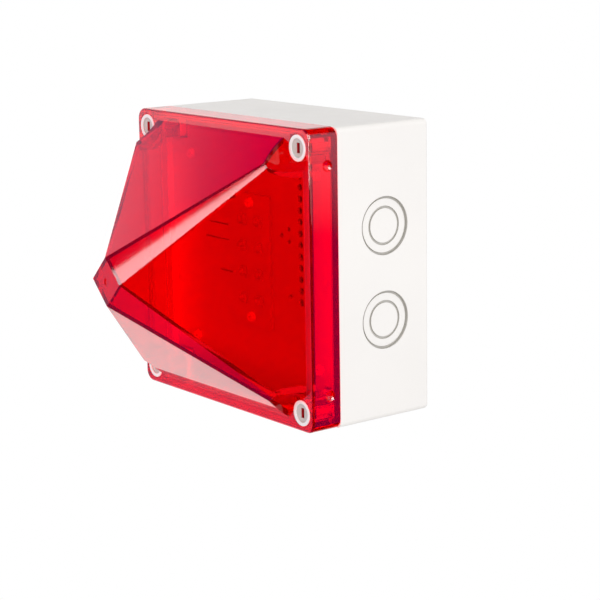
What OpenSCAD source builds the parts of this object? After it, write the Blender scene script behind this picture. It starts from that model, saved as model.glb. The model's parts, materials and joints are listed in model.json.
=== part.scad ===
// Square wall-box alarm beacon with a red pyramid lens, millimetres.
// Frame: +Z up, the lens faces -Y, and the wall face lies in the plane Y = 0.
// The origin is the centre of the wall face.
// Every sub-part is drawn as seen from the front: x to the right, y up, z out of the wall.
// at_depth() turns that view into the frame above, so a depth of 50 is the plane Y = -50.

/* [Housing] */
// Width and height of the square rear housing
box_w = 129.4; // [124:0.2:134]
// Depth of the rear housing, from the wall to the lens seam
box_depth = 50; // [46:1:60]
// Thickness of the housing's side walls
wall = 3; // [2.6:0.1:3.4]
// Thickness of the housing's back wall
back_wall = 3; // [2.4:0.2:3.6]
// Radius of the housing's four long corners
corner_r = 2.4; // [2:0.2:4]
// Radius of the soft edge around the wall face and around the lens front
edge_r = 1.2; // [0.6:0.2:1.6]

/* [Knock-outs] */
// Distance between the two knock-outs on the right-hand and on the left-hand side
knockout_spacing = 41.2; // [40:0.2:46]
// Depth of the knock-out centres from the wall
knockout_depth = 24.5; // [22:0.5:26]
// Diameter of the sunk disc of a knock-out, for a 25 mm entry
knockout_outer_d = 25.6; // [25:0.2:27]
// Mean diameter of the inner break-out groove, for a 16 mm entry
knockout_inner_d = 16; // [15.5:0.25:18]
// Width of the two break-out grooves of a knock-out
groove_w = 1.1; // [0.6:0.1:1.2]
// How far the disc lies below the face of the housing
knockout_step = 0.8; // [0.6:0.1:1.2]

/* [Wall fixing] */
// Distance between the wall-fixing holes, side to side
fixing_x = 84; // [80:1:88]
// Distance between the wall-fixing holes, top to bottom
fixing_z = 106; // [104:1:107]
// Diameter of the wall-fixing holes
fixing_d = 4.8; // [4.2:0.1:5.5]

/* [Lens] */
// Width and height of the square lens frame
lens_w = 130; // [125:0.2:135]
// Depth of the lens skirt in front of the seam
skirt_depth = 15; // [13:0.5:18]
// Width of the pyramid where it leaves the flat front rim
pyramid_w = 121; // [118:0.5:122]
// Height of the pyramid above the front rim
pyramid_h = 60; // [45:1:75]
// Width of the diamond-shaped tip, corner to corner
tip_w = 21.2; // [16:0.2:28]
// Radius of the lens's four long corners
lens_corner_r = 5; // [4:0.2:6]
// Thickness of the lens moulding
lens_t = 2.8; // [2.4:0.1:3.2]
// Radius of the rounded pockets that clear the lens screws
pocket_r = 9.5; // [8:0.25:10]

/* [Lens screws] */
// Distance of each lens screw from the centre lines
screw_at = 56.8; // [56.4:0.1:57]
// Diameter of the screw heads
head_d = 11.2; // [10.6:0.2:12.4]
// Height of the screw heads
head_h = 1.6; // [1.4:0.1:2.4]
// Diameter of the screw shanks
shank_d = 6.2; // [5:0.2:6.2]
// Length of a screw under its head
screw_l = 26; // [24:1:29]

/* [Inner plate] */
// Depth of the front face of the white inner plate
plate_z = 47; // [46:0.5:47.5]
// Pitch of the connection terminals and of their access holes
terminal_pitch = 5.08; // [5:0.01:5.08]
// Number of connection terminals
terminal_n = 12; // [6:1:12]
// Diameter of the access holes over the terminals
access_d = 3.2; // [1.8:0.1:3.4]

/* [Light source] */
// Columns of light-emitting diodes
led_cols = 2; // [1:1:2]
// Rows of light-emitting diodes
led_rows = 4; // [2:1:4]
// Distance between neighbouring diodes
led_pitch = 12; // [8:0.5:12]

/* [Hidden] */

fine = 64;             // facets of a full turn on visible round shapes
soft = 32;             // facets of a full turn inside a hull
eps = 0.05;            // overshoot of a cut past the face it opens
seam = 0.3;            // gap between parts that move apart
fit = 0.08;            // radial clearance of a turning part in its seat
snug = 0.05;           // radial clearance of a fixed screw in its pilot hole

groove_depth = 0.9;                // depth of the break-out grooves below the sunk disc
inner_half = box_w / 2 - wall;
inner_corner_r = 1;
gasket_half = box_w / 2 - 0.9;     // outer half width of the gasket
gasket_w = 1.2;
gasket_r = 3.6;
seal_seat = 1.4;                   // how deep the gasket sits in the housing rim
lip_h = 3;                         // height of the lens's lip in front of the gasket
seam_z = box_depth + seam;
rim_z = box_depth + skirt_depth;
tip_z = rim_z + pyramid_h;
skirt_half = lens_w / 2 - lens_t;
lip_in = min(gasket_half - gasket_w - seam, skirt_half - 0.6);   // the gasket groove opens inwards
column_from = screw_at - 6.5;      // inner faces of the corner columns
foot_l = 8.4;                      // length of a lens screw's locking bar
foot_w = 3;                        // width and height of the locking bar
head_rim = 1.5;                    // width of the raised edge of a lens screw's head
head_dish = 0.6;                   // depth of the dish in a lens screw's head
slot_l = 4.4;                      // screwdriver slot of a lens screw, below its dish
slot_w = 2.2;
slot_depth = 2.4;
head_z = rim_z - head_h;           // underside of the lens screw heads, which are flush with the lens
screw_tip_z = head_z - screw_l;
dimple_r = 3.2;                    // ball-shaped dimples in the sides of the skirt
dimple_depth = 1.2;
dimple_at = 9.3;                   // dimples behind the lens's rim
seal_d = 9.8;                      // rubber ring in its recess under a lens screw's head
seal_t = 1.25;
corners = [[1, 1], [-1, 1], [-1, -1], [1, -1]];

plate_t = 1.2;
post_at = [46, 42.5];              // posts that carry the inner plate
post_d = 7.4;
pilot_d = 2.6;
led_board_t = 1.6;
led_board_w = 28;
led_board_h = 60;
led_face_z = plate_z + led_board_t;

board_z = 10;                      // back face of the main circuit board
board_t = 1.6;
board_face_z = board_z + board_t;
board_w = 82;
board_h = 92;
board_screws_at = [[-36, -40], [-36, 40], [36, -40], [24, 40]];
board_screw_l = 7.5;
board_boss_d = 7;                  // bosses under the main board
fixing_boss_d = 11;                // raised rings round the wall-fixing holes
fixing_boss_h = 3;
through_d = 3.2;                   // free hole for a board or plate screw
post_pilot_depth = 12;

terminal_x = 34.7;                 // centre line of the clamp screws
terminal_y = 13.5;                 // middle of the row of terminals
terminal_w = 11;
terminal_h = 12;
terminal_z = board_face_z + 1.6;   // foot of the brass cages
terminal_bore = 3.9;               // round well over a clamp screw
wire_entry = 3.8;                  // width of a wire's way in
cage_w = 3.6;
cage_l = 5.4;
cage_h = 4.4;
clamp_d = 2.8;                     // shank and head of a clamp screw
clamp_head_d = 3.6;

mode_at = [-29, 34];
mode_w = 11.6;
mode_l = 6.4;
mode_h = 4.2;
mode_pitch = 2.54;
mode_slot_l = 3.9;
mode_slot_w = 1.7;
slider_l = 1.5;
slider_w = 1.1;
mode_travel = 1.8;

volume_at = [-12, 34];
volume_w = 9.6;
volume_h = 5;
rotor_r = 3.2;
rotor_seat_depth = 2.4;

sounder_at = [-23, -4];
sounder_d = 30;
sounder_h = 10;
sounder_wall = 1.4;
sound_hole_d = 5;
sound_disc_t = 0.6;

capacitor_at = [8, -36];
capacitor_d = 10;
capacitor_h = 15.5;
inductor_at = [16, -20];
flange_t = 1.5;                    // flanges of the inductor's bobbin
bobbin_d = 6;                      // its waist
bobbin_h = 9;
bobbin_flange_d = 12;
winding_d = 10.6;

led_lead_at = [0, -22];
probe_holes_at = [[26.3, 17], [26.3, 11.4], [21.2, 13.7], [27, -13]];
probe_d = 2.2;
vent_slots = [[-27, 13.5, 15], [-28, 6.5, 18], [-21.5, -8, 9]];   // centre x, centre y, length
vent_w = 0.6;

// Draws the children in front view, starting d in front of the wall.
module at_depth(d) {
    translate([0, -d, 0]) rotate([90, 0, 0]) children();
}

// Draws the children once at each corner place [x, y] and its mirror images.
module at_corners(x, y) {
    for (c = corners) translate([c[0] * x, c[1] * y, 0]) children();
}

// Square of half width half with round corners of radius r.
module round_square(half, r) {
    square([2 * half, 2 * (half - r)], center = true);
    square([2 * (half - r), 2 * half], center = true);
    for (c = corners) translate([c[0] * (half - r), c[1] * (half - r)]) circle(r, $fn = fine);
}

// Square tube between two rounded outlines.
module square_ring(outer, inner, r_outer, r_inner) {
    difference() {
        round_square(outer, r_outer);
        round_square(inner, r_inner);
    }
}

// Corner post of a moulded box, of radius r and height h, its foot rounded by edge_r.
module soft_post(r, h) {
    rotate_extrude($fn = soft) union() {
        translate([0, edge_r]) square([r, h - edge_r]);
        square([r - edge_r, edge_r + eps]);
        translate([r - edge_r, edge_r]) circle(edge_r, $fn = soft);
    }
}

// Moulded square block whose edges at z = 0 are soft.
module soft_block(half, r, h) {
    hull() for (c = corners) translate([c[0] * (half - r), c[1] * (half - r), 0]) soft_post(r, h);
}

// Pan-head screw, its head resting on z = 0 and its shank below.
module pan_screw(d, l) {
    difference() {
        cylinder(h = 0.65 * d, r1 = 1.0 * d, r2 = 0.8 * d, $fn = fine);
        for (a = [0, 90]) rotate(a) translate([0, 0, 0.65 * d])
            cube([1.1 * d, 0.22 * d, 0.7 * d], center = true);
    }
    translate([0, 0, -l]) cylinder(h = l + eps, d = d, $fn = fine);
}

// Flanged round plate with a hole: outer diameter d, bore b, height h.
module washer(d, b, h) {
    difference() {
        cylinder(h = h, d = d, $fn = fine);
        translate([0, 0, -eps]) cylinder(h = h + 2 * eps, d = b, $fn = fine);
    }
}

// Cut for one double knock-out in the face z = 0: a sunk disc with a groove at its edge and one inside.
module knockout_cut() {
    translate([0, 0, -knockout_step]) cylinder(h = 2 * knockout_step, d = knockout_outer_d, $fn = fine);
    for (d = [knockout_inner_d + groove_w, knockout_outer_d])
        translate([0, 0, -knockout_step - groove_depth]) washer(d, d - 2 * groove_w, groove_depth + eps);
}

// The two knock-outs of one side, on the housing's right-hand face.
module side_knockouts() {
    for (s = [-1, 1]) translate([box_w / 2, s * knockout_spacing / 2, knockout_depth])
        rotate([0, 90, 0]) knockout_cut();
}

// Off-white box with screw columns, plate posts, board bosses and wall-fixing holes.
module rear_housing() {
    column_w = box_w / 2 - column_from - wall / 2;
    boss_h = board_z - back_wall;
    color("ivory") at_depth(0) difference() {
        union() {
            difference() {
                soft_block(box_w / 2, corner_r, box_depth);
                translate([0, 0, back_wall]) linear_extrude(box_depth)
                    round_square(inner_half, inner_corner_r);
            }
            for (c = corners) translate([c[0] * (column_from + column_w / 2),
                c[1] * (column_from + column_w / 2), box_depth / 2 + back_wall / 4])
                cube([column_w, column_w, box_depth - back_wall / 2], center = true);
            at_corners(post_at[0], post_at[1]) translate([0, 0, back_wall / 2])
                cylinder(h = plate_z - plate_t - back_wall / 2, d = post_d, $fn = fine);
            for (p = board_screws_at) translate([p[0], p[1], back_wall / 2])
                cylinder(h = boss_h + back_wall / 2, d = board_boss_d, $fn = fine);
            at_corners(fixing_x / 2, fixing_z / 2) translate([0, 0, back_wall / 2])
                cylinder(h = back_wall / 2 + fixing_boss_h, d = fixing_boss_d, $fn = fine);
        }
        at_corners(screw_at, screw_at) translate([0, 0, screw_tip_z - 3])
            cylinder(h = box_depth, d = foot_l + 2 * seam, $fn = fine);
        at_corners(post_at[0], post_at[1]) translate([0, 0, plate_z - plate_t - post_pilot_depth])
            cylinder(h = 2 * post_pilot_depth, d = pilot_d, $fn = fine);
        for (p = board_screws_at) translate([p[0], p[1], back_wall])
            cylinder(h = boss_h + eps, d = pilot_d, $fn = fine);
        at_corners(fixing_x / 2, fixing_z / 2) translate([0, 0, -eps])
            cylinder(h = back_wall + fixing_boss_h + 2 * eps, d = fixing_d, $fn = fine);
        translate([0, 0, box_depth - seal_seat - snug]) linear_extrude(2 * seal_seat)
            square_ring(gasket_half + snug, gasket_half - gasket_w - snug, gasket_r, gasket_r - gasket_w);
        for (a = [0, 180]) rotate(a) side_knockouts();
    }
}

// Rubber seal that stands in the groove of the housing rim and reaches up behind the lens's lip.
module sealing_gasket() {
    color("dimgray") at_depth(box_depth - seal_seat) linear_extrude(seal_seat + lip_h)
        square_ring(gasket_half, gasket_half - gasket_w, gasket_r, gasket_r - gasket_w);
}

// Green board on four bosses at the back of the housing.
module main_circuit_board() {
    color("seagreen") at_depth(board_z) difference() {
        translate([-board_w / 2, -board_h / 2, 0]) cube([board_w, board_h, board_t]);
        for (p = board_screws_at) translate([p[0], p[1], -eps])
            cylinder(h = board_t + 2 * eps, d = through_d, $fn = fine);
    }
}

// Four screws that hold the main board.
module board_screws() {
    color("silver") at_depth(board_face_z) for (p = board_screws_at)
        translate([p[0], p[1], 0]) pan_screw(pilot_d - 2 * snug, board_screw_l);
}

// Places the children at each terminal of the row.
module at_terminals() {
    for (i = [0 : terminal_n - 1])
        translate([terminal_x, terminal_y + (i - (terminal_n - 1) / 2) * terminal_pitch, 0]) children();
}

// Row of screw terminals: wires go in from the right, screwdrivers from the front.
module terminal_block() {
    length = terminal_n * terminal_pitch;
    color("whitesmoke") at_depth(board_face_z) difference() {
        translate([terminal_x - terminal_w / 2, terminal_y - length / 2, 0]) difference() {
            cube([terminal_w, length, terminal_h]);
            translate([-eps, -eps, terminal_h - 3]) cube([2, length + 2 * eps, 4]);
        }
        at_terminals() {
            translate([0, 0, 2]) cylinder(h = terminal_h, d = terminal_bore, $fn = fine);
            translate([-wire_entry / 2, -wire_entry / 2, 1.5]) cube([terminal_w, wire_entry, 4.6]);
        }
    }
}

// Brass cages that grip the wires, one in each terminal.
module terminal_cages() {
    color("goldenrod") at_depth(terminal_z) at_terminals() difference() {
        translate([-cage_w / 2, -cage_w / 2, 0]) cube([cage_l, cage_w, cage_h]);
        translate([-2, -1.2, 0.6]) cube([6, 2.4, 2.2]);
        translate([0, 0, 2]) cylinder(h = 3, d = 2.9, $fn = fine);
    }
}

// Slotted clamp screws of the terminals.
module terminal_clamp_screws() {
    color("silver") at_depth(terminal_z) at_terminals() difference() {
        union() {
            translate([0, 0, 2.3]) cylinder(h = 3, d = clamp_d, $fn = fine);
            translate([0, 0, cage_h + eps]) cylinder(h = 2.2, d = clamp_head_d, $fn = fine);
        }
        translate([0, 0, 6.6]) cube([4, 0.7, 1.6], center = true);
    }
}

// Case of the four-way mode switch.
module mode_switch_body() {
    color("royalblue") at_depth(board_face_z) translate([mode_at[0], mode_at[1], 0]) difference() {
        translate([-mode_w / 2, -mode_l / 2, 0]) cube([mode_w, mode_l, mode_h]);
        for (i = [0 : 3]) translate([(i - 1.5) * mode_pitch, 0, mode_h])
            cube([mode_slot_w, mode_slot_l, 4], center = true);
    }
}

// One slider of the mode switch, at the lower end of its slot.
module mode_slider(i) {
    color("white") at_depth(board_face_z + mode_h - 2 + seam)
        translate([mode_at[0] + (i - 2.5) * mode_pitch - slider_w / 2,
            mode_at[1] - mode_travel / 2 - slider_l / 2, 0])
            cube([slider_w, slider_l, 2.6]);
}

// Case of the volume trimmer, with a round seat for its rotor.
module volume_trimmer_body() {
    color("steelblue") at_depth(board_face_z) translate([volume_at[0], volume_at[1], 0]) difference() {
        translate([-volume_w / 2, -volume_w / 2, 0]) cube([volume_w, volume_w, volume_h]);
        translate([0, 0, volume_h - rotor_seat_depth])
            cylinder(h = rotor_seat_depth + eps, r = rotor_r + fit, $fn = fine);
    }
}

// Turning rotor of the volume trimmer, with a screwdriver slot.
module volume_rotor() {
    height = rotor_seat_depth - seam + 0.4;
    color("white") at_depth(board_face_z + volume_h - rotor_seat_depth + seam)
        translate([volume_at[0], volume_at[1], 0]) difference() {
            cylinder(h = height, r = rotor_r, $fn = fine);
            translate([0, 0, height]) cube([4.6, 1, 1.8], center = true);
        }
}

// Round case of the warning sounder, with a sound hole in its front.
module sounder_case() {
    color("black") at_depth(board_face_z) translate([sounder_at[0], sounder_at[1], 0]) difference() {
        cylinder(h = sounder_h, d = sounder_d, $fn = fine);
        translate([0, 0, sounder_wall]) cylinder(h = sounder_h - 2 * sounder_wall,
            d = sounder_d - 2 * sounder_wall, $fn = fine);
        cylinder(h = 2 * sounder_h, d = sound_hole_d, $fn = fine);
    }
}

// Brass disc that makes the sound, inside the sounder case.
module sounder_disc() {
    color("goldenrod") at_depth(board_face_z + sounder_h / 2)
        translate([sounder_at[0], sounder_at[1], 0])
            cylinder(h = sound_disc_t, d = sounder_d - 2 * sounder_wall, $fn = fine);
}

// Two upright smoothing capacitors.
module smoothing_capacitors() {
    color("midnightblue") at_depth(board_face_z) for (s = [-1, 1])
        translate([s * capacitor_at[0], capacitor_at[1], 0]) {
            cylinder(h = 1, d = 0.94 * capacitor_d, $fn = fine);
            translate([0, 0, 1]) cylinder(h = 1, d = capacitor_d, $fn = fine);
            translate([0, 0, 2]) cylinder(h = 1, d = 0.92 * capacitor_d, $fn = fine);
            translate([0, 0, 3]) cylinder(h = capacitor_h - 3, d = capacitor_d, $fn = fine);
        }
}

// Ferrite bobbin of the supply inductor.
module inductor_core() {
    waist_h = bobbin_h - 2 * flange_t;
    color("darkslategray") at_depth(board_face_z) translate([inductor_at[0], inductor_at[1], 0]) {
        cylinder(h = flange_t, d = bobbin_flange_d, $fn = fine);
        translate([0, 0, flange_t]) cylinder(h = waist_h, d = bobbin_d, $fn = fine);
        translate([0, 0, flange_t + waist_h]) cylinder(h = flange_t, d = bobbin_flange_d, $fn = fine);
    }
}

// Copper winding between the bobbin's flanges.
module inductor_winding() {
    color("peru") at_depth(board_face_z + flange_t) translate([inductor_at[0], inductor_at[1], 0])
        washer(winding_d, bobbin_d, bobbin_h - 2 * flange_t);
}

// Two gull-wing driver chips.
module driver_chips() {
    color("dimgray") at_depth(board_face_z) for (p = [[14, 6], [14, 24]]) translate([p[0], p[1], 0]) {
        translate([-2, -2.5, 0.2]) cube([4, 5, 1.5]);
        for (i = [-1.5 : 1.5], s = [-1, 1]) translate([s * 2.5, i * 1.27, 0.35])
            cube([1.2, 0.42, 0.7], center = true);
    }
}

// Four rectifier diodes lying side by side.
module rectifier_diodes() {
    color("dimgray") at_depth(board_face_z) for (i = [0 : 3]) translate([-2, 2 + i * 5, 1.6]) {
        rotate([0, 90, 0]) cylinder(h = 5.2, d = 2.7, center = true, $fn = fine);
        rotate([0, 90, 0]) cylinder(h = 8.6, d = 0.8, center = true, $fn = fine);
        for (s = [-1, 1]) translate([s * 4, 0, -0.8]) cylinder(h = 1.6, d = 0.8, center = true, $fn = fine);
    }
}

// Disc-shaped surge suppressor, standing on its edge.
module surge_varistor() {
    color("steelblue") at_depth(board_face_z) translate([21, -37, 6.2]) {
        rotate([90, 0, 0]) cylinder(h = 4, d = 10, center = true, $fn = fine);
        for (s = [-1, 1]) translate([s * 2.5, 0, -5]) cylinder(h = 2.4, d = 0.8, center = true, $fn = fine);
    }
}

// Two-pole plug connection that feeds the light source.
module led_lead_connector() {
    color("white") at_depth(board_face_z) translate([led_lead_at[0], led_lead_at[1], 0]) difference() {
        translate([-3.7, -2.9, 0]) cube([7.4, 5.8, 8]);
        for (s = [-1, 1]) translate([s * 1.27, 0, 4]) cylinder(h = 5, d = 1.5, $fn = fine);
    }
}

// Red and black wires from the main board to the light source.
module led_supply_wires() {
    color("firebrick") at_depth(board_face_z + 4) for (s = [-1, 1])
        translate([led_lead_at[0] + s * 1.27, led_lead_at[1], 0])
            cylinder(h = plate_z - board_face_z - 4, d = 1.4, $fn = fine);
}

// White plate that covers the wiring and throws the light forward.
module inner_plate() {
    notch = inner_half - column_from + 1;
    half = inner_half - 2 * snug;
    color("white") at_depth(plate_z - plate_t) difference() {
        translate([-half, -half, 0]) cube([2 * half, 2 * half, plate_t]);
        for (c = corners) translate([c[0] * inner_half, c[1] * inner_half, 0])
            cube([2 * notch, 2 * notch, 3 * plate_t], center = true);
        at_corners(post_at[0], post_at[1]) translate([0, 0, -eps])
            cylinder(h = 3 * plate_t, d = through_d, $fn = fine);
        at_terminals() translate([0, 0, -eps]) cylinder(h = 3 * plate_t, d = access_d, $fn = fine);
        for (p = probe_holes_at) translate([p[0], p[1], -eps])
            cylinder(h = 3 * plate_t, d = probe_d, $fn = fine);
        for (p = vent_slots) translate([p[0], p[1], 0])
            cube([p[2], vent_w, 3 * plate_t], center = true);
        for (s = [-1, 1]) {
            translate([led_lead_at[0] + s * 1.27, led_lead_at[1], -eps])
                cylinder(h = 3 * plate_t, d = 1.6, $fn = fine);
            translate([0, s * 26, -eps]) cylinder(h = 3 * plate_t, d = pilot_d, $fn = fine);
        }
    }
}

// Four screws that hold the inner plate on its posts.
module inner_plate_screws() {
    color("silver") at_depth(plate_z) at_corners(post_at[0], post_at[1])
        pan_screw(pilot_d - 2 * snug, 10);
}

// White board that carries the light-emitting diodes.
module led_board() {
    color("whitesmoke") at_depth(plate_z) difference() {
        translate([-led_board_w / 2, -led_board_h / 2, 0]) cube([led_board_w, led_board_h, led_board_t]);
        for (s = [-1, 1]) translate([0, s * 26, -eps])
            cylinder(h = led_board_t + 2 * eps, d = 3, $fn = fine);
    }
}

// Two screws that hold the light board on the inner plate.
module led_board_screws() {
    color("silver") at_depth(led_face_z) for (s = [-1, 1]) translate([0, s * 26, 0])
        pan_screw(pilot_d - 2 * snug, 4);
}

// Places the children at each light-emitting diode.
module at_leds() {
    for (i = [0 : led_cols - 1], j = [0 : led_rows - 1])
        translate([(i - (led_cols - 1) / 2) * led_pitch, (j - (led_rows - 1) / 2) * led_pitch, 0])
            children();
}

// White ceramic packages of the diodes.
module led_packages() {
    color("white") at_depth(led_face_z) at_leds() translate([-2.5, -2.5, 0]) cube([5, 5, 0.9]);
}

// Clear domes of the diodes.
module led_domes() {
    color("lightyellow") at_depth(led_face_z + 0.9) at_leds() difference() {
        sphere(r = 2, $fn = fine);
        translate([-3, -3, -6]) cube(6);
    }
}

// Solid pyramid from a square of half width base at z = 0 to a diamond tip of half width tip at z = h.
module pyramid(base, tip, h) {
    polyhedron(
        points = [[base, base, 0], [-base, base, 0], [-base, -base, 0], [base, -base, 0],
            [tip, 0, h], [0, tip, h], [-tip, 0, h], [0, -tip, h]],
        faces = [[0, 1, 2, 3], [7, 6, 5, 4],
            [0, 3, 4], [1, 0, 5], [2, 1, 6], [3, 2, 7],
            [0, 4, 5], [1, 5, 6], [2, 6, 7], [3, 7, 4]]);
}

// Transparent red lens: skirt, flat rim, pyramid with chamfered ridges, and screw pockets.
module pyramid_lens() {
    slope = (pyramid_w / 2 - tip_w / 2) / pyramid_h;
    side_t = lens_t * sqrt(1 + slope * slope);
    inner_base = pyramid_w / 2 - side_t + lens_t * slope;
    inner_tip = tip_w / 2 - side_t + lens_t * slope;
    column_w = skirt_half - column_from + lens_t / 2;
    color([0.85, 0.02, 0.05, 0.6]) at_depth(0) difference() {
        union() {
            difference() {
                translate([0, 0, rim_z - eps]) pyramid(pyramid_w / 2, tip_w / 2, pyramid_h + eps);
                at_corners(screw_at, screw_at) translate([0, 0, rim_z - lens_t / 2])
                    cylinder(h = pyramid_h, r = pocket_r, $fn = fine);
            }
            translate([0, 0, rim_z]) rotate([180, 0, 0])
                soft_block(lens_w / 2, lens_corner_r, skirt_depth - seam);
        }
        difference() {
            translate([0, 0, rim_z - lens_t]) pyramid(inner_base, inner_tip, pyramid_h);
            at_corners(screw_at, screw_at) translate([0, 0, rim_z - 2 * lens_t])
                cylinder(h = pyramid_h, r = pocket_r + lens_t, $fn = fine);
        }
        difference() {
            translate([0, 0, box_depth]) linear_extrude(skirt_depth - lens_t)
                round_square(skirt_half, lens_corner_r - lens_t);
            for (c = corners) translate([c[0] * (column_from + column_w / 2),
                c[1] * (column_from + column_w / 2), rim_z - skirt_depth / 2])
                cube([column_w, column_w, skirt_depth + 2], center = true);
        }
        translate([0, 0, box_depth]) linear_extrude(seam + lip_h)
            square_ring(gasket_half + seam, lip_in, gasket_r + seam, gasket_r - gasket_w - seam);
        at_corners(screw_at, screw_at) {
            translate([0, 0, box_depth]) cylinder(h = skirt_depth + 1, d = shank_d + 2 * seam, $fn = fine);
            translate([0, 0, head_z - seam - seal_t - snug]) cylinder(h = 4, d = seal_d + 0.2, $fn = fine);
            translate([0, 0, head_z - seam]) cylinder(h = 4, d = head_d + 2 * seam, $fn = fine);
        }
        for (s = [-1, 1], t = [-1, 1])
            translate([s * (lens_w / 2 + dimple_r - dimple_depth), t * (column_from - 1), rim_z - dimple_at])
                sphere(dimple_r, $fn = fine);
        translate([0, 0, tip_z - 0.5]) cylinder(h = 1, d = 3, $fn = fine);
    }
}

// Rubber rings under the lens screw heads.
module lens_screw_seals() {
    color("dimgray") at_depth(head_z - seam - seal_t) at_corners(screw_at, screw_at)
        washer(seal_d, shank_d + 2 * seam, seal_t);
}

// White quarter-turn lens screw at the corner c, with a slotted head and a locking bar at its foot.
module lens_screw(c) {
    dish_z = head_h - head_dish;
    color("white") at_depth(head_z) translate([c[0] * screw_at, c[1] * screw_at, 0]) {
        difference() {
            union() {
                cylinder(h = head_h, d = head_d, $fn = fine);
                translate([0, 0, -screw_l]) cylinder(h = screw_l + eps, d = shank_d, $fn = fine);
            }
            translate([0, 0, dish_z]) cylinder(h = 2 * head_dish, d = head_d - 2 * head_rim, $fn = fine);
            translate([0, 0, dish_z]) cube([slot_w, slot_l, 2 * slot_depth], center = true);
        }
        intersection() {
            translate([0, 0, -screw_l + foot_w / 2]) cube([foot_w, foot_l, foot_w], center = true);
            translate([0, 0, -screw_l]) cylinder(h = foot_w, d = foot_l, $fn = fine);
        }
    }
}

rear_housing();
sealing_gasket();
main_circuit_board();
board_screws();
terminal_block();
terminal_cages();
terminal_clamp_screws();
mode_switch_body();
mode_slider(1);  // mode_slider_1
mode_slider(2);  // mode_slider_2
mode_slider(3);  // mode_slider_3
mode_slider(4);  // mode_slider_4
volume_trimmer_body();
volume_rotor();
sounder_case();
sounder_disc();
smoothing_capacitors();
inductor_core();
inductor_winding();
driver_chips();
rectifier_diodes();
surge_varistor();
led_lead_connector();
led_supply_wires();
inner_plate();
inner_plate_screws();
led_board();
led_board_screws();
led_packages();
led_domes();
pyramid_lens();
lens_screw_seals();
lens_screw(corners[0]);  // lens_screw_top_right
lens_screw(corners[1]);  // lens_screw_top_left
lens_screw(corners[2]);  // lens_screw_bottom_left
lens_screw(corners[3]);  // lens_screw_bottom_right
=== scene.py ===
"""Looks of the square wall-box alarm beacon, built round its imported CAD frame.

Metres, +Z up, lens towards -Y. Bodies, nodes and sizes come from the frame; this script adds
rounded edges, materials, the camera and the studio.
"""

import json
import math

import bmesh
import bpy
from mathutils import Matrix, Vector


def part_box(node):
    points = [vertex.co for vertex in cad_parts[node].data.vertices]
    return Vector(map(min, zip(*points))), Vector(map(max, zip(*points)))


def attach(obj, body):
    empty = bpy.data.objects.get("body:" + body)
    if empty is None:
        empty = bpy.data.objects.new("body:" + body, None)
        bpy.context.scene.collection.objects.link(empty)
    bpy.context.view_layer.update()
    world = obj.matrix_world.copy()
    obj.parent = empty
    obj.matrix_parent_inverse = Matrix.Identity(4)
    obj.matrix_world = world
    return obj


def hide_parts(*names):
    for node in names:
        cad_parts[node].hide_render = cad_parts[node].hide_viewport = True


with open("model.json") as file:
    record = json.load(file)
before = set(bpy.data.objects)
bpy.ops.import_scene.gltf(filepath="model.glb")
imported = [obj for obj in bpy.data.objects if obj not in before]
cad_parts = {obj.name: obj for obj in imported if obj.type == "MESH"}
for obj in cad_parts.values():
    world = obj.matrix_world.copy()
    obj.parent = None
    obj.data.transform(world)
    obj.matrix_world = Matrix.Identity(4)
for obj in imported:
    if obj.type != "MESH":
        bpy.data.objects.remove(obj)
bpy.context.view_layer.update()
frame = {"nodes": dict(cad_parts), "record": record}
SLOTS = {part["node"]: part["material_slot"] for part in frame["record"]["subparts"]}
MM = 0.001

# Camera: where it stands and what it looks at.
AZIMUTH, ELEVATION, ROLL = math.radians(52.642), math.radians(11.885), math.radians(-0.978)
TARGET = Vector((0, -40 * MM, 0))
CAMERA_DISTANCE = 823.9 * MM
CAMERA_LENS = 109.26
AIM_RIGHT, AIM_DOWN = 15.07 * MM, 19.41 * MM

# Studio: how bright the even light and the floor are where they light something, and the floor's place.
AMBIENT = 0.78
FLOOR_GLOW = 0.78
FLOOR_HEIGHT = -0.30
FLOOR_SIZE = 30.0

# Lamps that only mirror in the lens: the collection they show in, and the ridge's lamp.
GLOSSY = "mirrors_lamps"
RIDGE_LIGHT_AT = 1.2
RIDGE_LIGHT_SHIFT = 0.25

# Places on the pyramid: its tip, its foot on the rim, and the rim's plane.
TIP_HALF = 10.6 * MM
RIDGE_FOOT = 60.5 * MM
RIM_Y = -65 * MM

# How far from the centre lines the walls of the lens's skirt begin.
SKIRT_FROM = 62 * MM

# Housing's half width, and its upper right knock-out: middle and radius.
HOUSING_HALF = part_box("rear_housing")[1][0]
KNOCKOUT_AT = Vector((0, -24.5 * MM, 20.6 * MM))
KNOCKOUT_R = 12.8 * MM

# Middle and front of the top right lens screw.
SCREW_BOX = [Vector(corner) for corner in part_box("lens_screw_top_right")]
SCREW_AT = (SCREW_BOX[0] + SCREW_BOX[1]) / 2
SCREW_FRONT = SCREW_BOX[0].y

# Front of the capacitors' sleeves, past which the tops of their cans show.
SLEEVE_FRONT = -26.6 * MM

# Moulded skins: how fine their flow marks, waves, gloss spots and grain are, and two depths.
FLOW, WAVES, GLOSS_SPOTS, GRAIN = 22.0, 45.0, 160.0, 1400.0
WAVE_DEPTH, GRAIN_DEPTH = 0.08 * MM, 0.012 * MM

# Refined meshes: welding distance, what counts as flat and as sharp, and cuts in a rounded edge.
WELD = 0.001 * MM
FLAT_WITHIN, SHARP_FROM = math.radians(0.4), math.radians(28.0)
EDGE_CUTS = 2

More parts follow.
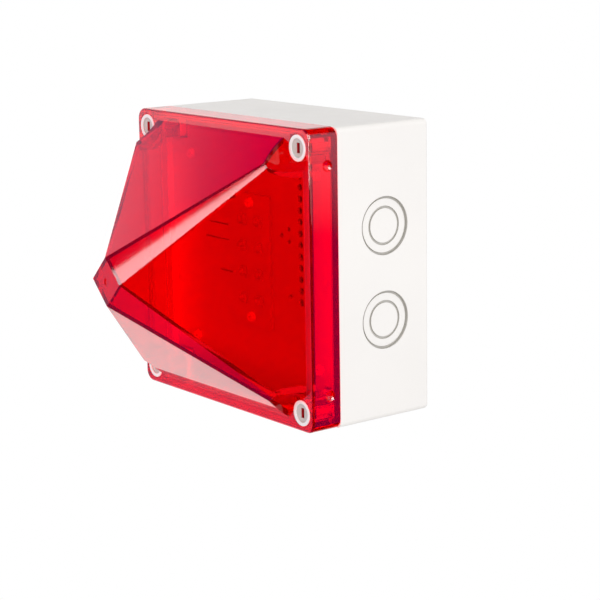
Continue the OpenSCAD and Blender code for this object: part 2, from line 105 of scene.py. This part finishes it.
# Width in millimetres of the rounded edges of each node that gets a refined piece.
EDGES = {
    "rear_housing": 0.3, "pyramid_lens": 0.22,
    "terminal_block": 0.15, "mode_switch_body": 0.15, "volume_trimmer_body": 0.2, "sounder_case": 0.3,
    "led_packages": 0.12, "led_lead_connector": 0.2, "driver_chips": 0.08,
    "lens_screw_top_right": 0.25, "lens_screw_top_left": 0.25,
    "lens_screw_bottom_left": 0.25, "lens_screw_bottom_right": 0.25,
    "inner_plate_screws": 0.1, "led_board_screws": 0.1, "lens_screw_seals": 0.25, "sealing_gasket": 0.25,
}


# ---------------------------------------------------------------- node trees

class Nodes:
    """Short ways to build a node tree."""

    def __init__(self, tree):
        self.tree = tree

    def node(self, kind, **values):
        made = self.tree.nodes.new("ShaderNode" + kind)
        for key, value in values.items():
            setattr(made, key, value)
        return made

    def put(self, target, value):
        """Sets a socket to a plain value, or links it to another socket."""
        if isinstance(value, bpy.types.NodeSocket):
            self.tree.links.new(value, target)
        else:
            target.default_value = value

    def span(self, source, low, high, start=0.3, end=0.7):
        """Numbers between low and high as source goes from start to end."""
        made = self.node("MapRange")
        for key, value in zip(("Value", "From Min", "From Max", "To Min", "To Max"),
                              (source, start, end, low, high)):
            self.put(made.inputs[key], value)
        return made.outputs["Result"]

    def maths(self, operation, a, b=0.0):
        made = self.node("Math", operation=operation)
        self.put(made.inputs[0], a)
        self.put(made.inputs[1], b)
        return made.outputs["Value"]


class Tree(Nodes):
    """One material's node tree."""

    def __init__(self, name):
        self.material = bpy.data.materials.new(name)
        self.material.use_nodes = True
        super().__init__(self.material.node_tree)
        self.tree.nodes.clear()
        self.output = self.node("OutputMaterial")

    def place(self):
        return self.node("TexCoord").outputs["Object"]

    def noise(self, scale, detail=2.0, rough=0.5):
        made = self.node("TexNoise")
        self.put(made.inputs["Scale"], scale)
        self.put(made.inputs["Detail"], detail)
        self.put(made.inputs["Roughness"], rough)
        self.put(made.inputs["Vector"], self.place())
        return made.outputs["Fac"]

    def ramp(self, source, low, high, start=0.3, end=0.7):
        """Colours or greys between low and high as source goes from start to end."""
        made = self.node("ValToRGB")
        first, last = made.color_ramp.elements
        first.position, last.position = start, end
        first.color, last.color = rgba(low), rgba(high)
        self.put(made.inputs["Fac"], source)
        return made.outputs["Color"]

    def axis(self, name):
        made = self.node("SeparateXYZ")
        self.put(made.inputs["Vector"], self.place())
        return made.outputs[name]

    def both(self, a, b):
        """1 where a and b are both 1, and 0 where either is 0."""
        return self.maths("MULTIPLY", a, b)

    def past(self, name, start):
        """How far a place lies past start along an axis, the same on both sides of the middle."""
        return self.maths("SUBTRACT", self.maths("ABSOLUTE", self.axis(name)), start)

    def length(self, *ways):
        """Length of a way that goes so far along one axis and so far along another."""
        squares = [self.maths("POWER", way, 2.0) for way in ways]
        return self.maths("SQRT", self.maths("ADD", *squares))

    def from_middle(self):
        """How far a place lies from the centre lines, along the longer of the two ways."""
        across, along = (self.maths("ABSOLUTE", self.axis(name)) for name in "XZ")
        return self.maths("MAXIMUM", across, along)

    def outward(self):
        """1 where the surface faces away from the middle, seen from the front, and 0 elsewhere."""
        flat = self.node("VectorMath", operation="MULTIPLY")
        self.put(flat.inputs[0], self.node("TexCoord").outputs["Normal"])
        self.put(flat.inputs[1], (1.0, 0.0, 1.0))
        facing = self.node("VectorMath", operation="DOT_PRODUCT")
        self.put(facing.inputs[0], flat.outputs["Vector"])
        self.put(facing.inputs[1], self.place())
        least = 30 * MM
        return self.maths("GREATER_THAN", facing.outputs["Value"], least)

    def mix(self, factor, low, high):
        """A colour between low and high. The Mix node's sockets for colours are reached by number."""
        made = self.node("Mix", data_type="RGBA")
        self.put(made.inputs[0], factor)
        self.put(made.inputs[6], rgba(low))
        self.put(made.inputs[7], rgba(high))
        return made.outputs[2]

    def bump(self, height, depth, under=None):
        """A bump whose height runs over depth metres."""
        made = self.node("Bump")
        self.put(made.inputs["Strength"], 1.0)
        self.put(made.inputs["Distance"], depth)
        self.put(made.inputs["Height"], height)
        if under is not None:
            self.put(made.inputs["Normal"], under)
        return made.outputs["Normal"]

    def skin(self, grain=GRAIN):
        """Normal of a moulded skin: a fine grain on long, low waves."""
        waves = self.bump(self.noise(WAVES), WAVE_DEPTH)
        return self.bump(self.noise(grain, 2.0, 0.6), GRAIN_DEPTH, waves)

    def surface(self, **sockets):
        """A Principled shader with the named sockets."""
        made = self.node("BsdfPrincipled")
        for key, value in sockets.items():
            self.put(made.inputs[key.replace("_", " ")], rgba(value) if key == "Base_Color" else value)
        return made.outputs["BSDF"]

    def either(self, choice, no, yes):
        """The shader no where choice is 0, and yes where it is 1."""
        made = self.node("MixShader")
        for target, value in zip(made.inputs, (choice, no, yes)):
            self.put(target, value)
        return made.outputs["Shader"]

    def done(self, shader):
        self.put(self.output.inputs["Surface"], shader)
        return self.material


def rgba(value):
    """A colour socket as it is, or a three-number colour with full alpha."""
    return value if isinstance(value, bpy.types.NodeSocket) else (*value, 1.0)


# ----------------------------------------------------------------- materials

def shade(colour, factor):
    return tuple(channel * factor for channel in colour)


def moulded(name, colour, rough, grain=GRAIN, tone=0.05):
    """Injection-moulded plastic: faint flow tones, a fine spark-eroded grain and uneven gloss."""
    t = Tree(name)
    return t.done(t.surface(
        Base_Color=t.ramp(t.noise(FLOW, 3.0), shade(colour, 1 - tone), shade(colour, 1 + tone * 0.4)),
        Roughness=t.span(t.noise(GLOSS_SPOTS, 4.0), rough - 0.06, rough + 0.08),
        Normal=t.skin(grain)))


def housing_white(name):
    """Off-white moulding, with painted shade: greyer down in the grooves of its knock-outs and on the step
    at their edge.
    """
    groove_from, groove_full = 0.85 * MM, 1.1 * MM
    step_from, step_full, step_width = 0.1 * MM, 0.4 * MM, 0.15 * MM
    margin, deepest = 0.1 * MM, 2.0 * MM
    t = Tree(name)
    sunk = t.maths("SUBTRACT", HOUSING_HALF, t.maths("ABSOLUTE", t.axis("X")))
    reach = t.length(t.maths("SUBTRACT", t.axis("Y"), KNOCKOUT_AT.y), t.past("Z", KNOCKOUT_AT.z))
    groove = t.span(sunk, 0.0, 1.0, groove_from, groove_full)
    step = t.both(t.span(sunk, 0.0, 1.0, step_from, step_full),
                  t.maths("GREATER_THAN", reach, KNOCKOUT_R - step_width))
    near = t.both(t.maths("LESS_THAN", reach, KNOCKOUT_R + margin),
                  t.maths("LESS_THAN", sunk, deepest))
    # Painted shade: grey down in the knock-outs' grooves and on the step at their edge.
    painted_groove_shade = t.both(near, t.maths("MAXIMUM", groove, step))
    white = t.ramp(t.noise(FLOW, 3.0), (0.823, 0.799, 0.769), (0.847, 0.822, 0.791))
    return t.done(t.surface(
        Base_Color=t.mix(painted_groove_shade, white, (0.56, 0.54, 0.50)),
        Roughness=t.span(t.noise(GLOSS_SPOTS, 4.0), 0.44, 0.58),
        Specular_IOR_Level=0.36, Normal=t.skin()))


def reflector_plate(name):
    """White moulding with painted light and shade: duller in its middle, brightest at its right edge and
    greyest at its low edge.
    """
    side_from, side_full = 38 * MM, 62 * MM
    low_from, low_full = -42 * MM, -60 * MM
    t = Tree(name)
    # Painted light: brighter towards the right edge, less so towards the left, over a duller middle.
    right = t.span(t.axis("X"), 0.0, 1.0, side_from, side_full)
    left = t.span(t.axis("X"), 0.5, 0.0, -side_full, -side_from)
    painted_side_light = t.ramp(t.maths("MAXIMUM", right, left), (0.48, 0.48, 0.47), (0.90, 0.90, 0.89), 0.0, 1.0)
    # Painted shade: greyer towards the low edge.
    low = t.span(t.axis("Z"), 1.0, 0.0, low_full, low_from)
    return t.done(t.surface(
        Base_Color=t.mix(low, painted_side_light, (0.26, 0.25, 0.25)),
        Roughness=t.span(t.noise(GLOSS_SPOTS, 4.0), 0.36, 0.5),
        Normal=t.bump(t.noise(GRAIN, 2.0, 0.6), GRAIN_DEPTH)))


def rubber(name, colour, inside):
    """Rubber seal, in a second colour except where it faces away from the middle of the object."""
    t = Tree(name)
    outside = t.ramp(t.noise(300.0, 3.0), shade(colour, 0.7), shade(colour, 1.2))
    return t.done(t.surface(
        Base_Color=t.mix(t.outward(), inside, outside),
        Roughness=t.span(t.noise(900.0, 3.0), 0.6, 0.85),
        Normal=t.bump(t.noise(2500.0), 0.02 * MM)))


def metal(name, colour):
    """Plated metal with fine marks and a slightly uneven gloss."""
    t = Tree(name)
    marks = t.noise(1800.0, 3.0, 0.6)
    return t.done(t.surface(
        Base_Color=t.ramp(marks, shade(colour, 0.82), colour),
        Metallic=1.0,
        Roughness=t.span(t.noise(500.0, 4.0), 0.20, 0.42),
        Normal=t.bump(marks, 0.008 * MM)))


def circuit_board(name, mask, track):
    """Solder mask over copper tracks, which run as fine raised lines."""
    t = Tree(name)
    lines = t.node("TexBrick", offset=0.37, squash=0.6, squash_frequency=3)
    t.put(lines.inputs["Scale"], 260.0)
    t.put(lines.inputs["Mortar Size"], 0.05)
    t.put(lines.inputs["Mortar Smooth"], 0.2)
    flat = t.node("CombineXYZ")
    t.put(flat.inputs["X"], t.axis("X"))
    t.put(flat.inputs["Y"], t.axis("Z"))
    t.put(lines.inputs["Vector"], flat.outputs["Vector"])
    weave = t.noise(3000.0, 2.0)
    return t.done(t.surface(
        Base_Color=t.mix(lines.outputs["Fac"], t.ramp(weave, shade(mask, 0.85), mask), track),
        Roughness=t.span(weave, 0.22, 0.4),
        Normal=t.bump(lines.outputs["Fac"], 0.03 * MM)))


def clear_red(name):
    """Polished transparent red plastic. Lamps shine through it, tinted, so that the inside is lit. Its
    skirt takes a clearer tint than the facets, as painted light that makes the skirt show brighter.
    """
    t = Tree(name)
    # The skirt's clearer tint is painted light: it makes the skirt show brighter than the facets.
    tint, painted_light_skirt_tint = (0.80, 0.0015, 0.006), (0.95, 0.0015, 0.006)
    in_skirt = t.maths("GREATER_THAN", t.from_middle(), SKIRT_FROM)
    ripple = t.bump(t.noise(60.0, 2.0), 0.006 * MM)
    glass = t.surface(Base_Color=t.mix(in_skirt, tint, painted_light_skirt_tint), Roughness=0.03, IOR=1.5,
                      Transmission_Weight=0.94, Normal=ripple)
    open_way = t.node("BsdfTransparent")
    t.put(open_way.inputs["Color"], rgba([math.sqrt(channel) for channel in tint]))
    in_shadow = t.node("LightPath").outputs["Is Shadow Ray"]
    return t.done(t.either(in_shadow, glass, open_way.outputs["BSDF"]))


def lens_screw_white(name):
    """White moulding of the lens screws: painted shade greys the dish in the head, and painted red light
    lies down in its slot.
    """
    dish_from, dish_full, dish_reach = 0.2 * MM, 0.5 * MM, 4.25 * MM
    slot_from, slot_full, slot_reach, deepest = 0.7 * MM, 0.95 * MM, 2.6 * MM, 3.2 * MM
    t = Tree(name)
    reach = t.length(t.past("X", SCREW_AT.x), t.past("Z", SCREW_AT.z))
    depth = t.maths("SUBTRACT", t.axis("Y"), SCREW_FRONT)
    # Painted shade: grey in the dish of the head.
    painted_dish_shade = t.both(t.span(depth, 0.0, 1.0, dish_from, dish_full),
                     t.maths("LESS_THAN", reach, dish_reach))
    in_head = t.both(t.maths("LESS_THAN", reach, slot_reach), t.maths("LESS_THAN", depth, deepest))
    # Painted red light from the lens, down in the slot.
    painted_slot_light = t.both(t.span(depth, 0.0, 1.0, slot_from, slot_full), in_head)
    white = t.ramp(t.noise(40.0, 3.0), (0.90, 0.89, 0.88), (0.95, 0.94, 0.93))
    white_with_dish_shade = t.mix(painted_dish_shade, white, (0.60, 0.57, 0.53))
    return t.done(t.surface(
        Base_Color=t.mix(painted_slot_light, white_with_dish_shade, (0.55, 0.012, 0.02)),
        Roughness=t.span(t.noise(200.0, 4.0), 0.26, 0.42),
        Normal=t.bump(t.noise(GRAIN, 2.0, 0.6), 0.01 * MM)))


def two_wires(name):
    """Soft insulation, red on the right-hand wire and black on the left-hand one."""
    t = Tree(name)
    side = t.maths("GREATER_THAN", t.axis("X"), 0.0)
    return t.done(t.surface(
        Base_Color=t.mix(side, (0.012, 0.012, 0.012), (0.50, 0.015, 0.01)),
        Roughness=t.span(t.noise(700.0), 0.35, 0.5),
        Normal=t.bump(t.noise(1500.0), 0.02 * MM)))


def copper_winding(name):
    """Enamelled wire wound in even turns along Y."""
    t = Tree(name)
    turns = t.node("TexWave", bands_direction="Y", wave_profile="SIN")
    t.put(turns.inputs["Scale"], 330.0)
    t.put(turns.inputs["Vector"], t.place())
    height = turns.outputs["Fac"]
    return t.done(t.surface(
        Base_Color=t.ramp(height, (0.22, 0.07, 0.025), (0.72, 0.30, 0.12)),
        Metallic=0.85, Roughness=0.32, Normal=t.bump(height, 0.15 * MM)))


def capacitor_skin(name):
    """Dark shrink sleeve with a bright can top."""
    t = Tree(name)
    top = t.maths("LESS_THAN", t.axis("Y"), SLEEVE_FRONT)
    sleeve = t.ramp(t.noise(200.0), (0.010, 0.014, 0.05), (0.02, 0.028, 0.09))
    return t.done(t.surface(
        Base_Color=t.mix(top, sleeve, (0.62, 0.62, 0.62)),
        Metallic=top, Roughness=t.span(t.noise(600.0), 0.25, 0.42)))


def materials():
    """Every material by the record's slot name."""
    return {
        "housing_plastic": housing_white("housing_plastic"),
        "gasket_rubber": rubber("gasket_rubber", (0.035, 0.035, 0.04), (0.60, 0.58, 0.57)),
        "board_green": circuit_board("board_green", (0.012, 0.10, 0.04), (0.03, 0.20, 0.08)),
        "screw_steel": metal("screw_steel", (0.24, 0.24, 0.235)),
        "terminal_plastic": moulded("terminal_plastic", (0.60, 0.62, 0.60), 0.45),
        "contact_brass": metal("contact_brass", (0.80, 0.58, 0.24)),
        "switch_blue": moulded("switch_blue", (0.02, 0.07, 0.32), 0.35),
        "control_white": moulded("control_white", (0.82, 0.82, 0.79), 0.4),
        "sounder_black": moulded("sounder_black", (0.015, 0.015, 0.016), 0.4),
        "capacitor_sleeve": capacitor_skin("capacitor_sleeve"),
        "ferrite": moulded("ferrite", (0.035, 0.035, 0.04), 0.6, grain=2500.0),
        "copper_wire": copper_winding("copper_wire"),
        "chip_black": moulded("chip_black", (0.02, 0.02, 0.021), 0.5),
        "varistor_blue": moulded("varistor_blue", (0.04, 0.13, 0.36), 0.3),
        "lead_pvc": two_wires("lead_pvc"),
        "plate_white": reflector_plate("plate_white"),
        # Painted shade: the LED board, packages and domes are set grey, well below their white, like the
        # plate's duller middle.
        "led_board_white": moulded("led_board_white", (0.48, 0.48, 0.47), 0.4, tone=0.02),
        "led_ceramic": moulded("led_ceramic", (0.485, 0.48, 0.46), 0.4),
        "led_silicone": moulded("led_silicone", (0.42, 0.41, 0.39), 0.3, tone=0.02),
        "lens_red": clear_red("lens_red"),
        "screw_white": lens_screw_white("screw_white"),
    }


# -------------------------------------------------------------------- pieces

def joined_flats(mesh):
    """Welds a mesh, clears its flat areas of needless corners and cuts them into even triangles."""
    b = bmesh.new()
    b.from_mesh(mesh)
    bmesh.ops.remove_doubles(b, verts=b.verts, dist=WELD)
    bmesh.ops.dissolve_limit(b, angle_limit=FLAT_WITHIN, verts=b.verts, edges=b.edges)
    bmesh.ops.triangulate(b, faces=[face for face in b.faces if len(face.verts) > 4],
                          quad_method="BEAUTY", ngon_method="BEAUTY")
    for face in b.faces:
        face.smooth = True
    b.to_mesh(mesh)
    b.free()


def soften(piece, width):
    """Rounds a piece's sharp edges, and keeps its flat faces flat to the eye."""
    bevel = piece.modifiers.new("soft_edges", "BEVEL")
    bevel.width, bevel.segments = width, EDGE_CUTS
    bevel.limit_method, bevel.angle_limit = "ANGLE", SHARP_FROM
    bevel.miter_outer = "MITER_ARC"
    bevel.use_clamp_overlap = True
    normals = piece.modifiers.new("flat_faces", "WEIGHTED_NORMAL")
    normals.weight = 90


def refined(node, body, width):
    """A CAD node's own shape with joined flat faces and softly rounded edges, standing for the node."""
    piece = bpy.data.objects.new("fine_" + node, frame["nodes"][node].data.copy())
    bpy.context.scene.collection.objects.link(piece)
    joined_flats(piece.data)
    soften(piece, width)
    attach(piece, body)
    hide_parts(node)
    return piece


def coat_with(piece, material):
    piece.data.materials.clear()
    piece.data.materials.append(material)


def dress():
    """Gives every node its material, and a refined piece in its place where its edges show."""
    stock = materials()
    bodies = frame["record"]["behaviour"]["bodies"]
    home = {node: body for body, nodes in bodies.items() for node in nodes}
    for node, original in frame["nodes"].items():
        if node in EDGES:
            coat_with(refined(node, home[node], EDGES[node] * MM), stock[SLOTS[node]])
        else:
            coat_with(original, stock[SLOTS[node]])


# --------------------------------------------------------- camera and lights

def make_camera():
    back = Vector((math.sin(AZIMUTH) * math.cos(ELEVATION), -math.cos(AZIMUTH) * math.cos(ELEVATION),
                   math.sin(ELEVATION)))
    level = Vector((math.cos(AZIMUTH), math.sin(AZIMUTH), 0))
    upright = back.cross(level)
    right = level * math.cos(ROLL) + upright * math.sin(ROLL)
    up = upright * math.cos(ROLL) - level * math.sin(ROLL)
    data = bpy.data.cameras.new("camera")
    data.lens, data.sensor_width = CAMERA_LENS, 36.0
    data.clip_start, data.clip_end = 0.05, 100.0
    camera = bpy.data.objects.new("camera", data)
    bpy.context.scene.collection.objects.link(camera)
    place = TARGET + right * AIM_RIGHT - up * AIM_DOWN + back * CAMERA_DISTANCE
    camera.matrix_world = Matrix.Translation(place) @ Matrix((right, up, back)).transposed().to_4x4()
    bpy.context.scene.camera = camera


def softbox(name, direction, distance, width, height, power):
    """A rectangular white lamp that looks at the object from a direction."""
    data = bpy.data.lights.new(name, "AREA")
    data.shape, data.size, data.size_y = "RECTANGLE", width, height
    data.energy = power
    lamp = bpy.data.objects.new(name, data)
    bpy.context.scene.collection.objects.link(lamp)
    away = Vector(direction).normalized()
    lamp.location = TARGET + away * distance
    lamp.rotation_mode = "QUATERNION"
    lamp.rotation_quaternion = away.to_track_quat("Z", "Y")
    return lamp


def only_mirrored(lamp):
    """Lets a lamp show in the gloss of the lens and light nothing else."""
    lamp.visible_diffuse = lamp.visible_transmission = False
    lamp.light_linking.receiver_collection = bpy.data.collections[GLOSSY]


class Sky(Nodes):
    """The studio's even light, and what mirrors in the gloss, as the world's node tree."""

    def __init__(self, tree):
        super().__init__(tree)
        self.path = self.node("LightPath").outputs
        split = self.node("SeparateXYZ")
        self.put(split.inputs["Vector"], self.node("TexCoord").outputs["Generated"])
        self.right, self.back, self.up = (split.outputs[name] for name in "XYZ")

    def times(self, *values):
        product = values[0]
        for value in values[1:]:
            product = self.maths("MULTIPLY", product, value)
        return product

    def between(self, source, start, end, low=0.0, high=1.0):
        return self.span(source, low, high, start, end)

    def mirrored(self):
        """1 for a ray that only mirrors in a gloss, without having gone through the lens."""
        outside = self.maths("LESS_THAN", self.path["Transmission Depth"], 0.5)
        return self.times(outside, self.path["Is Glossy Ray"])

    def choose(self, choice, no, yes):
        """no where choice is 0 and yes where it is 1."""
        rest = self.maths("SUBTRACT", 1.0, choice)
        return self.maths("ADD", self.times(rest, no), self.times(choice, yes))

    def behind_right(self):
        """1 well behind on the right and 0 elsewhere."""
        return self.times(self.between(self.right, 0.3, 0.5), self.between(self.back, 0.1, 0.3))

    def left_wall(self):
        """A pale wall on the left that ends some way up, twice as bright a little behind the middle."""
        top = self.between(self.up, 0.61, 0.53)
        dimmer_in_front = self.between(self.back, -0.15, -0.60, 1.0, 0.35)
        shine = self.times(self.between(self.back, 0.12, 0.22),
                           self.between(self.back, 0.35, 0.50, 1.0, 0.0),
                           self.between(self.up, -0.35, -0.10))
        return self.times(self.between(self.right, -0.2, -0.6), top, top,
                          self.maths("ADD", 1.0, shine), dimmer_in_front)

    def reflected_white(self):
        """The wall on the left, and a room without its low part behind on the right and front left."""
        behind = self.times(self.behind_right(), self.between(self.up, -0.17, -0.12, 0.0, 1.3))
        in_front = self.times(self.between(self.right, -0.5, -0.7), self.between(self.back, -0.40, -0.55),
                              self.between(self.up, -0.145, -0.115, 0.0, 1.2))
        return self.maths("ADD", self.maths("ADD", self.left_wall(), behind), in_front)

    def reflected_blue(self):
        """A cool cast of what mirrors in front on the left and behind on the right."""
        front_left = self.times(self.between(self.right, 0.2, -0.2),
                                self.between(self.back, 0.10, 0.0, 0.0, 0.36))
        return self.maths("ADD", front_left, self.times(self.behind_right(), 0.5))


def make_world():
    """Even white light all round, with a room of its own, pale and cool, for what mirrors in the gloss."""
    world = bpy.data.worlds.new("studio")
    world.use_nodes = True
    world.cycles.sampling_method = "NONE"
    sky = Sky(world.node_tree)
    mirrored = sky.mirrored()
    lit = sky.choose(sky.maths("GREATER_THAN", sky.path["Diffuse Depth"], 0.5), 1.0, AMBIENT)
    white = sky.reflected_white()
    cool = sky.maths("ADD", white, sky.reflected_blue())
    colour = sky.node("CombineColor")
    for name, seen in (("Red", white), ("Green", white), ("Blue", cool)):
        sky.put(colour.inputs[name], sky.choose(mirrored, lit, seen))
    background = sky.tree.nodes["Background"].inputs
    sky.put(background["Color"], colour.outputs["Color"])
    sky.put(background["Strength"], 1.0)
    bpy.context.scene.world = world


def floor_white():
    """Even white that lights a little less than it shows, and is open from below."""
    t = Tree("floor")
    lit = t.maths("GREATER_THAN", t.node("LightPath").outputs["Diffuse Depth"], 0.5)
    glow = t.node("Emission")
    t.put(glow.inputs["Strength"], t.span(lit, 1.0, FLOOR_GLOW, 0.0, 1.0))
    from_below = t.node("NewGeometry").outputs["Backfacing"]
    clear = t.node("BsdfTransparent").outputs["BSDF"]
    return t.done(t.either(from_below, glow.outputs["Emission"], clear))


def make_floor():
    """Plain pale floor, well under the wall-mounted object and left out of what mirrors."""
    b = bmesh.new()
    bmesh.ops.create_grid(b, x_segments=1, y_segments=1, size=FLOOR_SIZE / 2)
    mesh = bpy.data.meshes.new("floor")
    b.to_mesh(mesh)
    b.free()
    floor = bpy.data.objects.new("floor", mesh)
    floor.location.z = FLOOR_HEIGHT
    floor.visible_glossy = False
    bpy.context.scene.collection.objects.link(floor)
    coat_with(floor, floor_white())


def ridge_light():
    """Softbox whose mirror image covers the lower half of the upper right ridge of the pyramid."""
    camera = bpy.context.scene.camera.location
    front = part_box("pyramid_lens")[0][1]
    start = Vector((TIP_HALF / 2, front, TIP_HALF / 2))
    end = Vector((RIDGE_FOOT, RIM_Y, RIDGE_FOOT))
    across = Vector((1, 0, -1)).normalized()
    normal = (end - start).cross(across).normalized()
    mirrored = camera - 2 * (camera - start).dot(normal) * normal
    middle = (start + end) / 2
    away = (middle - mirrored).normalized()
    edge = (end - start).cross(away).normalized()
    if edge.z > 0:
        edge = -edge
    lamp = softbox("ridge_light", away, RIDGE_LIGHT_AT, width=1.0, height=0.5, power=14.0)
    only_mirrored(lamp)
    side = edge.cross(away)
    place = middle + away * RIDGE_LIGHT_AT + edge * RIDGE_LIGHT_SHIFT
    turn = Matrix((side, edge, side.cross(edge))).transposed().to_4x4()
    lamp.rotation_mode = "XYZ"
    lamp.matrix_world = Matrix.Translation(place) @ turn


def gather_glossy():
    """Puts the lens in the collection that the mirrored lamps show in."""
    glossy = bpy.data.collections.new(GLOSSY)
    glossy.objects.link(bpy.data.objects["fine_pyramid_lens"])


def make_studio():
    make_world()
    make_floor()
    gather_glossy()
    softbox("key_light", (0.93, -0.28, 0.20), 1.4, width=0.8, height=1.0, power=7.5)
    top = softbox("top_light", (0.0, 0.3, 1.0), 1.4, width=1.0, height=1.0, power=2.4)
    top.visible_glossy = False
    only_mirrored(softbox("dimple_light", (0.78, -0.28, 0.57), 1.4, width=0.9, height=0.9, power=38.0))
    only_mirrored(softbox("edge_light", (0.25, -0.95, 0.17), 1.3, width=0.7, height=0.75, power=20.0))
    ridge_light()
    bpy.context.scene.view_settings.view_transform = "Standard"


make_camera()
dress()
make_studio()
